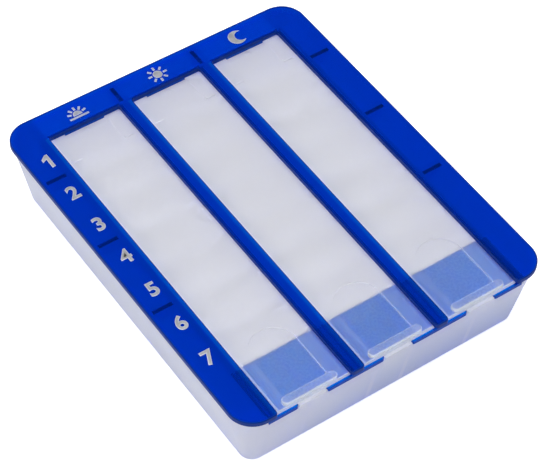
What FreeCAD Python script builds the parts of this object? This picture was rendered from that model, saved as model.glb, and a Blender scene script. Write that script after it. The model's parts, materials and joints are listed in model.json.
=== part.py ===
"""Weekly pill drawer organizer: a moulded tray of three columns and seven rows of cells, a
transparent cover plate with one long window over each column, and three lids that slide
under the plate and out at the front.

Frame: millimetres, +X to the right, +Y to the rear (the row of day one), +Z up. The origin is
at the middle of the tray's flat underside.
"""
import FreeCAD, Part
import math
import os
import re

import Sketcher
from FreeCAD import Vector

OUTPUT_FOLDER = "parts"
COLUMN_NAMES = ("left", "middle", "right")

# ---------------------------------------------------------------------------------------------
# Driving dimensions: alias, value in millimetres (or a count), what it is
# ---------------------------------------------------------------------------------------------
SIZES = [
    ("column_count", 3, "columns of cells, one for each time of day"),
    ("row_count", 7, "rows of cells, one for each day"),
    ("column_spacing", 25.7, "from one column's middle to the next"),
    ("row_spacing", 12.7, "from one row's middle to the next"),
    # cover plate
    ("cover_width", 93.0, "plate, left to right"),
    ("cover_length", 115.0, "plate, front to rear"),
    ("plate_thickness", 1.4, "plate"),
    ("plate_corner", 7.0, "corner radius of the plate in plan"),
    ("plate_edge_round", 0.25, "rounding of the plate's upper edges"),
    ("rear_rim", 8.5, "plate's rear edge to the rear end of a window"),
    ("window_width", 21.7, "window over one column"),
    ("window_corner", 0.8, "radius at the two rear corners of a window"),
    ("window_mouth", 1.0, "rounding of the plate's corners where a window opens to the front"),
    # channels for the lids, under the plate
    ("channel_height", 1.3, "underside of the plate to the floor of a channel"),
    ("outer_web", 1.0, "thickness of the outermost channel walls"),
    ("rear_web", 1.2, "thickness of the wall that closes the channels at the rear"),
    ("landing_thickness", 1.1, "shelf under the lids at the front end"),
    ("landing_setback", 0.8, "plate's front edge to the shelf's front edge"),
    ("notch_width", 8.6, "finger notch in the shelf's front edge"),
    ("notch_depth", 1.7, "finger notch, front to rear"),
    ("notch_corner", 0.7, "rounding of the shelf's corners beside a notch"),
    # ribs under the plate, which drop into the tray and locate the cover
    ("rib_thickness", 1.2, "locating rib"),
    ("rib_depth", 4.0, "locating rib, below the plate"),
    ("rib_gap", 0.15, "locating rib to the tray's walls"),
    ("rib_step", 2, "rows from one locating rib to the next"),
    # tray
    ("tray_height", 21.2, "underside of the tray to its rim"),
    ("cover_overhang", 0.4, "plate's edge beyond the tray's rim"),
    ("foot_inset", 4.0, "how far the skirt leans in from rim to foot"),
    ("foot_corner", 3.6, "corner radius of the skirt at the foot"),
    ("foot_round", 0.8, "rounding where the skirt turns under"),
    ("skirt_wall", 1.2, "skirt"),
    ("floor_thickness", 1.2, "floor"),
    ("column_wall", 1.6, "wall between two columns"),
    ("side_wall", 1.2, "outer side walls of the cells"),
    ("row_wall", 1.2, "partition between two rows"),
    ("cell_round", 2.2, "radius along the front and rear of a cell's floor"),
    ("scoop_width", 13.2, "dip in the partitions' tops that lets the lid's stop pass"),
    ("scoop_depth", 1.3, "dip in the partitions' tops"),
    ("scoop_lean", 0.65, "how far each side of the dip leans in towards its bottom"),
    ("tongue_gap", 0.2, "tray's tongue to the notch around it"),
    ("stay_thickness", 1.0, "upright stays that carry the shelf"),
    ("stay_spread", 10.4, "between the two stays at the middle column"),
    ("stay_gap", 0.1, "top of a stay to the shelf"),
    ("gate_gap", 0.3, "shelf's ends to the opening in the tray's front wall"),
    # sliding lids
    ("lid_thickness", 1.1, "lid"),
    ("lid_side_gap", 0.25, "lid to each channel wall"),
    ("lid_rear_gap", 0.1, "lid to the channel's rear wall"),
    ("lid_lift", 0.1, "running gap under the lid"),
    ("lid_setback", 1.4, "plate's front edge to the lid's front edge"),
    ("lid_corner", 0.7, "corner radius of the lid in plan"),
    ("relief_width", 12.3, "stretch of the rear edge that is cut back"),
    ("relief_depth", 0.4, "how far the rear edge is cut back"),
    ("stop_width", 11.6, "stop under the rear edge"),
    ("stop_thickness", 1.0, "stop, front to rear"),
    ("stop_depth", 0.8, "stop, below the lid"),
    ("grip_length", 16.0, "raised grip bar"),
    ("grip_width", 2.4, "raised grip bar, front to rear"),
    ("grip_height", 1.1, "raised grip bar, above the lid"),
    ("grip_setback", 0.1, "lid's front edge to the grip bar"),
    ("grip_round", 0.4, "rounding of the grip bar's top"),
    ("panel_width", 12.9, "sunk panels with a round end, front and rear"),
    ("front_panel_depth", 0.25, "front panel"),
    ("rear_panel_depth", 0.12, "rear panel"),
    ("rear_panel_reach", 6.0, "lid's rear edge to the centre of the rear panel's round end"),
    ("ridge_gap", 0.25, "rear panel's side to a ridge"),
    ("ridge_length", 2.8, "small ridges beside the rear panel"),
    ("ridge_width", 1.0, "small ridges"),
    ("ridge_height", 0.25, "small ridges"),
    ("ridge_reach", 9.4, "lid's rear edge to the middle of a ridge"),
    ("gate_mark", 0.9, "radius of the moulding mark near the rear edge"),
    ("gate_mark_depth", 0.15, "moulding mark"),
    ("gate_mark_reach", 2.0, "lid's rear edge to the moulding mark"),
]

document = FreeCAD.newDocument("WeeklyPillOrganizer")
sheet = document.addObject("Spreadsheet::Sheet", "Sizes")
for row, (alias, number, meaning) in enumerate(SIZES, start=1):
    sheet.set(f"A{row}", alias.replace("_", " "))
    sheet.set(f"B{row}", str(number))
    sheet.setAlias(f"B{row}", alias)
    sheet.set(f"C{row}", meaning)
document.recompute()

ALIASES = re.compile(r"\b(" + "|".join(alias for alias, number, meaning in SIZES) + r")\b")


def cells(text):
    """The formula text with each size's name turned into a reference to its cell."""
    return ALIASES.sub(r"Sizes.\1", text)


def value(text):
    """The number that a formula of sizes gives."""
    result = sheet.evalExpression(cells(text))
    return float(getattr(result, "Value", result))


# Places that several pieces share, as formulas of the sizes above
RIM_HEIGHT = "tray_height"
FLOOR_MIDDLE = "(floor_thickness / 2)"
CHANNEL_FLOOR = "(tray_height - channel_height)"
LANDING_UNDERSIDE = "(tray_height - channel_height - landing_thickness)"
STAY_TOP = "(tray_height - channel_height - landing_thickness - stay_gap)"
WINDOW_REAR = "(cover_length / 2 - rear_rim)"
CELLS_FRONT = "(cover_length / 2 - rear_rim - row_count * row_spacing)"
FRONT_WALL_FACE = "(cover_length / 2 - rear_rim - row_count * row_spacing - row_wall / 2)"
REAR_WALL_FACE = "(cover_length / 2 - rear_rim + row_wall / 2)"
PLATE_FRONT = "(-cover_length / 2)"
LANDING_FRONT = "(landing_setback - cover_length / 2)"
CHANNEL_WIDTH = "(column_spacing - column_wall)"
FIRST_COLUMN = "(-(column_count - 1) / 2 * column_spacing)"
COLUMNS_SPAN = "((column_count - 1) * column_spacing)"
LANDING_HALF = "((column_count * column_spacing - column_wall) / 2 + outer_web)"
BLOCK_HALF = "((column_count * column_spacing - column_wall) / 2 + side_wall)"
GATE_HALF = "((column_count * column_spacing - column_wall) / 2 + outer_web + gate_gap)"
RIM_HALF_WIDTH = "(cover_width / 2 - cover_overhang)"
RIM_HALF_LENGTH = "(cover_length / 2 - cover_overhang)"
FOOT_HALF_WIDTH = "(cover_width / 2 - cover_overhang - foot_inset)"
FOOT_HALF_LENGTH = "(cover_length / 2 - cover_overhang - foot_inset)"
LEAN = "(foot_inset / tray_height)"


# ---------------------------------------------------------------------------------------------
# Sketches
# ---------------------------------------------------------------------------------------------
def origin_feature(body, role):
    """The body's own origin plane or axis with that role."""
    for feature in body.Origin.OriginFeatures:
        if feature.Role == role:
            return feature
    raise ValueError(role)


def new_sketch(body, name, plane, offset):
    """An empty sketch on one of the body's origin planes, moved along its normal."""
    sketch = body.newObject("Sketcher::SketchObject", name)
    sketch.AttachmentSupport = [(origin_feature(body, plane), "")]
    sketch.MapMode = "FlatFace"
    sketch.setExpression("AttachmentOffset.Base.z", cells(offset))
    return sketch


def bind(sketch, index, name, formula):
    """Name a dimension of the sketch and tie it to a formula of sizes."""
    sketch.renameConstraint(index, name)
    sketch.setExpression("Constraints." + name, cells(formula))


def pin(sketch, name, geometry, point, across, up):
    """Hold one point of the sketch at two formulas, measured from the sketch's origin."""
    for kind, suffix, formula in (("DistanceX", "across", across), ("DistanceY", "up", up)):
        index = sketch.addConstraint(
            Sketcher.Constraint(kind, -1, 1, geometry, point, value(formula))
        )
        bind(sketch, index, f"{name}_{suffix}", formula)


def add_polygon(sketch, name, corners):
    """Add a closed outline of straight sides, each corner held at its own formulas."""
    points = [Vector(value(across), value(up), 0) for across, up in corners]
    first = sketch.GeometryCount
    count = len(points)
    for k in range(count):
        sketch.addGeometry(Part.LineSegment(points[k], points[(k + 1) % count]), False)
    for k in range(count):
        following = first + (k + 1) % count
        sketch.addConstraint(Sketcher.Constraint("Coincident", first + k, 2, following, 1))
    for k, (across, up) in enumerate(corners):
        pin(sketch, f"{name}_{k}", first + k, 1, across, up)


def polygon(body, name, plane, offset, corners):
    """A sketch of one closed outline of straight sides."""
    sketch = new_sketch(body, name, plane, offset)
    add_polygon(sketch, "corner", corners)
    return sketch


def rectangle_corners(left, right, low, high):
    """The four corners of an upright rectangle, anticlockwise."""
    return [(left, low), (right, low), (right, high), (left, high)]


def rectangle(body, name, plane, offset, left, right, low, high):
    """A sketch of one upright rectangle."""
    return polygon(body, name, plane, offset, rectangle_corners(left, right, low, high))


def rounded_rectangle(body, name, offset, half_width, half_length, radius):
    """A level sketch of a rectangle centred on the origin, with four round corners."""
    sketch = new_sketch(body, name, "XY_Plane", offset)
    across, along, corner = value(half_width), value(half_length), value(radius)
    x, y = across - corner, along - corner
    sides = [((-x, -along), (x, -along)), ((across, -y), (across, y)),
             ((x, along), (-x, along)), ((-across, y), (-across, -y))]
    centres = [(x, -y, -90), (x, y, 0), (-x, y, 90), (-x, -y, 180)]
    for start, end in sides:
        sketch.addGeometry(Part.LineSegment(Vector(*start, 0), Vector(*end, 0)), False)
    for cx, cy, angle in centres:
        circle = Part.Circle(Vector(cx, cy, 0), Vector(0, 0, 1), corner)
        arc = Part.ArcOfCircle(circle, math.radians(angle), math.radians(angle + 90))
        sketch.addGeometry(arc, False)
    for k in range(4):
        arc = 4 + k
        sketch.addConstraint(Sketcher.Constraint("Tangent", k, 2, arc, 1))
        sketch.addConstraint(Sketcher.Constraint("Tangent", arc, 2, (k + 1) % 4, 1))
        if k:
            sketch.addConstraint(Sketcher.Constraint("Equal", 4, arc))
    for side, kind in enumerate(("Horizontal", "Vertical", "Horizontal", "Vertical")):
        sketch.addConstraint(Sketcher.Constraint(kind, side))
    sketch.addConstraint(Sketcher.Constraint("Symmetric", 4, 3, 6, 3, -1, 1))
    index = sketch.addConstraint(Sketcher.Constraint("Radius", 4, corner))
    bind(sketch, index, "corner_radius", radius)
    index = sketch.addConstraint(Sketcher.Constraint("DistanceX", -1, 1, 1, 1, across))
    bind(sketch, index, "half_width", half_width)
    index = sketch.addConstraint(Sketcher.Constraint("DistanceY", -1, 1, 2, 1, along))
    bind(sketch, index, "half_length", half_length)
    return sketch


def arch(body, name, offset, base, centre, radius):
    """A level sketch of a panel centred across, straight at its base and round at its end."""
    sketch = new_sketch(body, name, "XY_Plane", offset)
    low, middle, half = value(base), value(centre), value(radius)
    towards_rear = middle > low
    base_left, base_right = Vector(-half, low, 0), Vector(half, low, 0)
    round_left, round_right = Vector(-half, middle, 0), Vector(half, middle, 0)
    tip = Vector(0, middle + half if towards_rear else middle - half, 0)
    sketch.addGeometry(Part.LineSegment(base_left, base_right), False)
    sketch.addGeometry(Part.LineSegment(base_right, round_right), False)
    sketch.addGeometry(Part.Arc(round_right, tip, round_left), False)
    sketch.addGeometry(Part.LineSegment(round_left, base_left), False)
    # an arc always runs anticlockwise, so which of its ends is on the right depends on the tip
    right_end, left_end = (1, 2) if towards_rear else (2, 1)
    sketch.addConstraint(Sketcher.Constraint("Coincident", 0, 2, 1, 1))
    sketch.addConstraint(Sketcher.Constraint("Tangent", 1, 2, 2, right_end))
    sketch.addConstraint(Sketcher.Constraint("Tangent", 2, left_end, 3, 1))
    sketch.addConstraint(Sketcher.Constraint("Coincident", 3, 2, 0, 1))
    sketch.addConstraint(Sketcher.Constraint("Horizontal", 0))
    sketch.addConstraint(Sketcher.Constraint("Vertical", 1))
    sketch.addConstraint(Sketcher.Constraint("Vertical", 3))
    pin(sketch, "centre", 2, 3, "0", centre)
    index = sketch.addConstraint(Sketcher.Constraint("Radius", 2, half))
    bind(sketch, index, "end_radius", radius)
    index = sketch.addConstraint(Sketcher.Constraint("DistanceY", -1, 1, 0, 1, low))
    bind(sketch, index, "base", base)
    return sketch


def stadium(body, name, offset, half_length, radius, centre):
    """A level sketch of a bar across X with two round ends."""
    sketch = new_sketch(body, name, "XY_Plane", offset)
    reach, half, middle = value(half_length) - value(radius), value(radius), value(centre)
    for side in (-1, 1):
        start = Vector(side * reach, middle + side * half, 0)
        end = Vector(-side * reach, middle + side * half, 0)
        sketch.addGeometry(Part.LineSegment(start, end), False)
    for side in (1, -1):
        start = Vector(side * reach, middle - side * half, 0)
        tip = Vector(side * (reach + half), middle, 0)
        end = Vector(side * reach, middle + side * half, 0)
        sketch.addGeometry(Part.Arc(start, tip, end), False)
    sketch.addConstraint(Sketcher.Constraint("Tangent", 0, 2, 2, 1))
    sketch.addConstraint(Sketcher.Constraint("Tangent", 2, 2, 1, 1))
    sketch.addConstraint(Sketcher.Constraint("Tangent", 1, 2, 3, 1))
    sketch.addConstraint(Sketcher.Constraint("Tangent", 3, 2, 0, 1))
    sketch.addConstraint(Sketcher.Constraint("Horizontal", 0))
    pin(sketch, "right_centre", 2, 3, f"{half_length} - {radius}", centre)
    index = sketch.addConstraint(Sketcher.Constraint("DistanceX", -1, 1, 3, 3, -reach))
    bind(sketch, index, "left_centre", f"{radius} - {half_length}")
    index = sketch.addConstraint(Sketcher.Constraint("Radius", 2, half))
    bind(sketch, index, "end_radius", radius)
    return sketch


# ---------------------------------------------------------------------------------------------
# Features
# ---------------------------------------------------------------------------------------------
def new_body(label):
    """An empty body that becomes one sub-part."""
    body = document.addObject("PartDesign::Body", label)
    body.Label = label
    return body


def extrude(body, kind, name, sketch, length, reverse=False, both_ways=False):
    """A Pad or a Pocket of a sketch; a Pocket has to take material away."""
    before = body.Shape.Volume if body.Tip else 0.0
    feature = body.newObject("PartDesign::" + kind, name)
    feature.Profile = sketch
    feature.setExpression("Length", cells(length))
    feature.Reversed = reverse
    if both_ways:
        feature.SideType = "Symmetric"
    body.Tip = feature
    document.recompute()
    change = feature.Shape.Volume - before
    if (change <= 0) == (kind == "Pad"):
        raise ValueError(f"{name}: the {kind} changed the volume by {change:.3f}")
    return feature


def lean_walls(body, name, wanted, reverse):
    """Lean the tip's faces for which wanted(face) holds, outwards from the underside up; an
    inner wall needs the opposite sense to an outer one."""
    tip = body.Tip
    names = [f"Face{k}" for k, face in enumerate(tip.Shape.Faces, start=1) if wanted(face)]
    if not names:
        raise ValueError(f"{name}: no face found")
    feature = body.newObject("PartDesign::Draft", name)
    feature.Base = (tip, names)
    feature.NeutralPlane = (origin_feature(body, "XY_Plane"), [""])
    feature.setExpression("Angle", cells("atan(foot_inset / tray_height)"))
    feature.Reversed = reverse
    body.Tip = feature
    document.recompute()
    return feature


def step_along(body, name, axis, length, count):
    """A linear pattern's rule: so many copies, spread over a length along an axis."""
    pattern = body.newObject("PartDesign::LinearPattern", name)
    pattern.Direction = (origin_feature(body, axis), [""])
    pattern.setExpression("Length", cells(length))
    pattern.setExpression("Occurrences", cells(count))
    return pattern


def repeat(body, name, feature, axis, length, count):
    """Copies of one feature along one axis."""
    pattern = step_along(body, name, axis, length, count)
    pattern.Originals = [feature]
    body.Tip = pattern
    document.recompute()
    return pattern


def round_edges(body, name, radius, wanted):
    """A fillet on the edges of the body's tip for which wanted(edge) holds."""
    tip = body.Tip
    names = [f"Edge{k}" for k, edge in enumerate(tip.Shape.Edges, start=1) if wanted(edge)]
    if not names:
        raise ValueError(f"{name}: no edge found")
    feature = body.newObject("PartDesign::Fillet", name)
    feature.Base = (tip, names)
    feature.setExpression("Radius", cells(radius))
    body.Tip = feature
    document.recompute()
    return feature


def stands_upright(face, tolerance=0.001):
    """Whether the face is a wall that doesn't lean."""
    first_u, last_u, first_v, last_v = face.ParameterRange
    normal = face.normalAt((first_u + last_u) / 2, (first_v + last_v) / 2)
    return abs(normal.z) < tolerance


def level_at(edge, height, tolerance=0.001):
    """Whether the whole edge lies at one height."""
    box = edge.BoundBox
    return abs(box.ZMin - height) < tolerance and abs(box.ZMax - height) < tolerance


def upright_at(edge, places, tolerance=0.001):
    """Whether the edge stands upright at one of the given places in plan."""
    box = edge.BoundBox
    if box.XLength > tolerance or box.YLength > tolerance:
        return False
    return any(abs(box.XMin - x) < tolerance and abs(box.YMin - y) < tolerance for x, y in places)


def column_corners(half_width, along):
    """The places in plan that lie to either side of every column's middle."""
    places = []
    for k in range(int(value("column_count"))):
        middle = value(f"{FIRST_COLUMN} + {k} * column_spacing")
        places += [(middle + side * value(half_width), value(along)) for side in (-1, 1)]
    return places


# ---------------------------------------------------------------------------------------------
# Tray
# ---------------------------------------------------------------------------------------------
def make_tray():
    """The frosted tray: leaning skirt, floor, cells, and the openings for the cover's front."""
    body = new_body("tray")
    foot = rounded_rectangle(body, "foot_outline", "0", FOOT_HALF_WIDTH, FOOT_HALF_LENGTH,
                             "foot_corner")
    extrude(body, "Pad", "skirt_outside", foot, RIM_HEIGHT)
    lean_walls(body, "skirt_outside_lean", stands_upright, reverse=True)
    round_edges(body, "foot_rounding", "foot_round", lambda edge: level_at(edge, 0.0))

    hollow = rounded_rectangle(body, "hollow_outline", "floor_thickness",
                               f"{FOOT_HALF_WIDTH} - skirt_wall", f"{FOOT_HALF_LENGTH} - skirt_wall",
                               "foot_corner - skirt_wall")
    extrude(body, "Pocket", "skirt_inside", hollow, "tray_height - floor_thickness", reverse=True)
    lean_walls(body, "skirt_inside_lean", stands_upright, reverse=False)

    # the block starts inside the floor, so that it joins the floor through a whole face
    block = rectangle(body, "cell_block_outline", "XY_Plane", FLOOR_MIDDLE, f"-{BLOCK_HALF}",
                      BLOCK_HALF, FRONT_WALL_FACE, REAR_WALL_FACE)
    extrude(body, "Pad", "cell_block", block, f"{CHANNEL_FLOOR} - {FLOOR_MIDDLE}")

    add_stays(body)
    cut_cells(body)
    cut_front_gate(body)
    return body


def add_stays(body):
    """Upright stays from the cells to the front skirt, which carry the cover's shelf."""
    skirt_middle = f"(skirt_wall / 2 - {RIM_HALF_LENGTH})"
    profile = [
        (CELLS_FRONT, FLOOR_MIDDLE),
        (CELLS_FRONT, STAY_TOP),
        (f"{skirt_middle} + {LEAN} * (tray_height - {STAY_TOP})", STAY_TOP),
        (f"{skirt_middle} + {LEAN} * (tray_height - {FLOOR_MIDDLE})", FLOOR_MIDDLE),
    ]
    places = {
        "left": FIRST_COLUMN,
        "middle_left": "-stay_spread / 2",
        "middle_right": "stay_spread / 2",
        "right": f"-{FIRST_COLUMN}",
    }
    for name, across in places.items():
        outline = polygon(body, f"stay_{name}_outline", "YZ_Plane", across, profile)
        extrude(body, "Pad", f"stay_{name}", outline, "stay_thickness", both_ways=True)


def cut_cells(body):
    """One cell, its floor rounded at the front and the rear, repeated over rows and columns."""
    sketch = new_sketch(body, "cell_profile", "YZ_Plane", FIRST_COLUMN)
    front = value(f"{WINDOW_REAR} - row_spacing + row_wall / 2")
    rear = value(f"{WINDOW_REAR} - row_wall / 2")
    floor, top, radius = value("floor_thickness"), value(CHANNEL_FLOOR), value("cell_round")
    sides = [((front + radius, floor), (rear - radius, floor)), ((rear, floor + radius), (rear, top)),
             ((rear, top), (front, top)), ((front, top), (front, floor + radius))]
    for start, end in sides:
        sketch.addGeometry(Part.LineSegment(Vector(*start, 0), Vector(*end, 0)), False)
    for centre, angle in ((rear - radius, -90), (front + radius, 180)):
        circle = Part.Circle(Vector(centre, floor + radius, 0), Vector(0, 0, 1), radius)
        arc = Part.ArcOfCircle(circle, math.radians(angle), math.radians(angle + 90))
        sketch.addGeometry(arc, False)
    for first, end, second, start in ((0, 2, 4, 1), (4, 2, 1, 1), (3, 2, 5, 1), (5, 2, 0, 1)):
        sketch.addConstraint(Sketcher.Constraint("Tangent", first, end, second, start))
    for first, second in ((1, 2), (2, 3)):
        sketch.addConstraint(Sketcher.Constraint("Coincident", first, 2, second, 1))
    for side, kind in enumerate(("Horizontal", "Vertical", "Horizontal", "Vertical")):
        sketch.addConstraint(Sketcher.Constraint(kind, side))
    sketch.addConstraint(Sketcher.Constraint("Equal", 4, 5))
    index = sketch.addConstraint(Sketcher.Constraint("Radius", 4, radius))
    bind(sketch, index, "floor_radius", "cell_round")
    pin(sketch, "top_rear", 1, 2, f"{WINDOW_REAR} - row_wall / 2", CHANNEL_FLOOR)
    index = sketch.addConstraint(Sketcher.Constraint("DistanceX", -1, 1, 3, 1, front))
    bind(sketch, index, "front", f"{WINDOW_REAR} - row_spacing + row_wall / 2")
    index = sketch.addConstraint(Sketcher.Constraint("DistanceY", -1, 1, 0, 1, floor))
    bind(sketch, index, "floor", "floor_thickness")

    cell = extrude(body, "Pocket", "cell", sketch, CHANNEL_WIDTH, both_ways=True)
    rows_span = "(row_count - 1) * row_spacing"
    rows = step_along(body, "cells_along_column", "Y_Axis", rows_span, "row_count")
    rows.Reversed = True
    columns = step_along(body, "cells_across_columns", "X_Axis", COLUMNS_SPAN, "column_count")
    cells_feature = body.newObject("PartDesign::MultiTransform", "cells_all")
    cells_feature.Originals = [cell]
    cells_feature.Transformations = [rows, columns]
    body.Tip = cells_feature
    document.recompute()

    # the dip starts at the middle of the rear wall, where a closed lid's stop stands
    scoop = polygon(body, "scoop_profile", "XZ_Plane", f"-{WINDOW_REAR}", [
        (f"{FIRST_COLUMN} - scoop_width / 2 + scoop_lean", f"{CHANNEL_FLOOR} - scoop_depth"),
        (f"{FIRST_COLUMN} + scoop_width / 2 - scoop_lean", f"{CHANNEL_FLOOR} - scoop_depth"),
        (f"{FIRST_COLUMN} + scoop_width / 2", CHANNEL_FLOOR),
        (f"{FIRST_COLUMN} - scoop_width / 2", CHANNEL_FLOOR),
    ])
    scoop_length = "row_count * row_spacing - row_wall / 2"
    dip = extrude(body, "Pocket", "scoop", scoop, scoop_length, reverse=True)
    repeat(body, "scoops", dip, "X_Axis", COLUMNS_SPAN, "column_count")


def cut_front_gate(body):
    """Room for the shelf and the lids in the front: the cells' front wall ends under the shelf,
    and the front skirt is lowered around the shelf except for one tongue in each notch."""
    seat = rectangle(body, "shelf_seat_outline", "XY_Plane", LANDING_UNDERSIDE, f"-{GATE_HALF}",
                     GATE_HALF, FRONT_WALL_FACE, f"{CELLS_FRONT} + row_wall / 2")
    extrude(body, "Pocket", "shelf_seat", seat, "channel_height + landing_thickness", reverse=True)

    gate_start = f"-{FRONT_WALL_FACE}"
    gate_length = f"cover_length / 2 + {FRONT_WALL_FACE}"
    lid_sill = f"({CHANNEL_FLOOR} - stay_gap)"
    slot = rectangle(body, "lid_slot_outline", "XZ_Plane", gate_start, f"-{GATE_HALF}", GATE_HALF,
                     lid_sill, RIM_HEIGHT)
    extrude(body, "Pocket", "lid_slot", slot, gate_length, reverse=True)

    segments = new_sketch(body, "shelf_slot_outline", "XZ_Plane", gate_start)
    tongue_half = "(notch_width / 2 - tongue_gap)"
    count = int(value("column_count"))
    for k in range(count + 1):
        left = f"{FIRST_COLUMN} + {k - 1} * column_spacing + {tongue_half}" if k else f"-{GATE_HALF}"
        right = f"{FIRST_COLUMN} + {k} * column_spacing - {tongue_half}" if k < count else GATE_HALF
        add_polygon(segments, f"segment_{k}", rectangle_corners(left, right, STAY_TOP, lid_sill))
    extrude(body, "Pocket", "shelf_slot", segments, gate_length, reverse=True)


# ---------------------------------------------------------------------------------------------
# Cover
# ---------------------------------------------------------------------------------------------
def make_cover():
    """The blue cover: plate with windows, channel walls, shelf at the front, locating ribs."""
    body = new_body("cover")
    outline = rounded_rectangle(body, "plate_outline", RIM_HEIGHT, "cover_width / 2",
                                "cover_length / 2", "plate_corner")
    extrude(body, "Pad", "plate", outline, "plate_thickness")

    window = rectangle(body, "window_outline", "XY_Plane", RIM_HEIGHT,
                       f"{FIRST_COLUMN} - window_width / 2", f"{FIRST_COLUMN} + window_width / 2",
                       PLATE_FRONT, WINDOW_REAR)
    opening = extrude(body, "Pocket", "window", window, "plate_thickness", reverse=True)
    repeat(body, "windows", opening, "X_Axis", COLUMNS_SPAN, "column_count")
    corners = column_corners("window_width / 2", WINDOW_REAR)
    round_edges(body, "window_corners", "window_corner", lambda edge: upright_at(edge, corners))
    mouths = column_corners("window_width / 2", PLATE_FRONT)
    round_edges(body, "window_mouths", "window_mouth", lambda edge: upright_at(edge, mouths))
    top = value(f"{RIM_HEIGHT} + plate_thickness")
    round_edges(body, "plate_upper_edges", "plate_edge_round", lambda edge: level_at(edge, top))

    add_channels(body)
    add_shelf(body)
    add_ribs(body)
    return body


def add_channels(body):
    """Walls that hang from the plate and guide the lids: two outer ones, one between each two
    columns, and one across the rear."""
    sketch = new_sketch(body, "channel_walls_outline", "XY_Plane", RIM_HEIGHT)
    rear_corners = rectangle_corners(f"-{LANDING_HALF}", LANDING_HALF, WINDOW_REAR,
                                     f"{WINDOW_REAR} + rear_web")
    add_polygon(sketch, "rear", rear_corners)
    extrude(body, "Pad", "rear_wall_of_channels", sketch, "channel_height", reverse=True)

    count = int(value("column_count"))
    for k in range(count + 1):
        middle = f"({FIRST_COLUMN} + {k - 0.5} * column_spacing)"
        left = f"{middle} - column_wall / 2" if k else f"-{LANDING_HALF}"
        right = f"{middle} + column_wall / 2" if k < count else LANDING_HALF
        wall = rectangle(body, f"channel_wall_{k}_outline", "XY_Plane", RIM_HEIGHT, left, right,
                         LANDING_FRONT, f"{WINDOW_REAR} + rear_web / 2")
        extrude(body, "Pad", f"channel_wall_{k}", wall, "channel_height", reverse=True)


def add_shelf(body):
    """The shelf that carries the lids at the front, with a finger notch under each lid."""
    shelf = rectangle(body, "shelf_outline", "XY_Plane", CHANNEL_FLOOR, f"-{LANDING_HALF}",
                      LANDING_HALF, LANDING_FRONT, CELLS_FRONT)
    extrude(body, "Pad", "shelf", shelf, "landing_thickness", reverse=True)
    left = f"{FIRST_COLUMN} - notch_width / 2"
    right = f"{FIRST_COLUMN} + notch_width / 2"
    notch = rectangle(body, "notch_outline", "XY_Plane", LANDING_UNDERSIDE, left, right,
                      LANDING_FRONT, f"{LANDING_FRONT} + notch_depth")
    cut = extrude(body, "Pocket", "notch", notch, "landing_thickness", reverse=True)
    repeat(body, "notches", cut, "X_Axis", COLUMNS_SPAN, "column_count")
    corners = column_corners("notch_width / 2", LANDING_FRONT)
    round_edges(body, "notch_corners", "notch_corner", lambda edge: upright_at(edge, corners))


def add_ribs(body):
    """Ribs that drop between the tray's skirt and its cells: one at every second partition on
    both sides, and one behind each wall between two columns."""
    lowest = f"({RIM_HEIGHT} - rib_depth)"
    side_profile = [
        (f"{BLOCK_HALF} + rib_gap", lowest),
        (f"{RIM_HALF_WIDTH} - skirt_wall - rib_gap - {LEAN} * rib_depth", lowest),
        (f"{RIM_HALF_WIDTH} - skirt_wall - rib_gap", RIM_HEIGHT),
        (f"{BLOCK_HALF} + rib_gap", RIM_HEIGHT),
    ]
    mirrored_profile = [(f"-({across})", up) for across, up in side_profile]
    first_partition = f"-({WINDOW_REAR} - row_spacing)"
    rib_count = "ceil((row_count - 1) / rib_step)"
    for side, profile in (("right", side_profile), ("left", mirrored_profile)):
        outline = polygon(body, f"rib_{side}_outline", "XZ_Plane", first_partition, profile)
        rib = extrude(body, "Pad", f"rib_{side}", outline, "rib_thickness", both_ways=True)
        span = f"({rib_count} - 1) * rib_step * row_spacing"
        pattern = repeat(body, f"ribs_{side}", rib, "Y_Axis", span, rib_count)
        pattern.Reversed = True
        document.recompute()

    rear_profile = [
        (f"{REAR_WALL_FACE} + rib_gap", lowest),
        (f"{RIM_HALF_LENGTH} - skirt_wall - rib_gap - {LEAN} * rib_depth", lowest),
        (f"{RIM_HALF_LENGTH} - skirt_wall - rib_gap", RIM_HEIGHT),
        (f"{REAR_WALL_FACE} + rib_gap", RIM_HEIGHT),
    ]
    first_divider = f"{FIRST_COLUMN} + column_spacing / 2"
    outline = polygon(body, "rib_rear_outline", "YZ_Plane", first_divider, rear_profile)
    rib = extrude(body, "Pad", "rib_rear", outline, "rib_thickness", both_ways=True)
    repeat(body, "ribs_rear", rib, "X_Axis", "(column_count - 2) * column_spacing", "column_count - 1")


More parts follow.
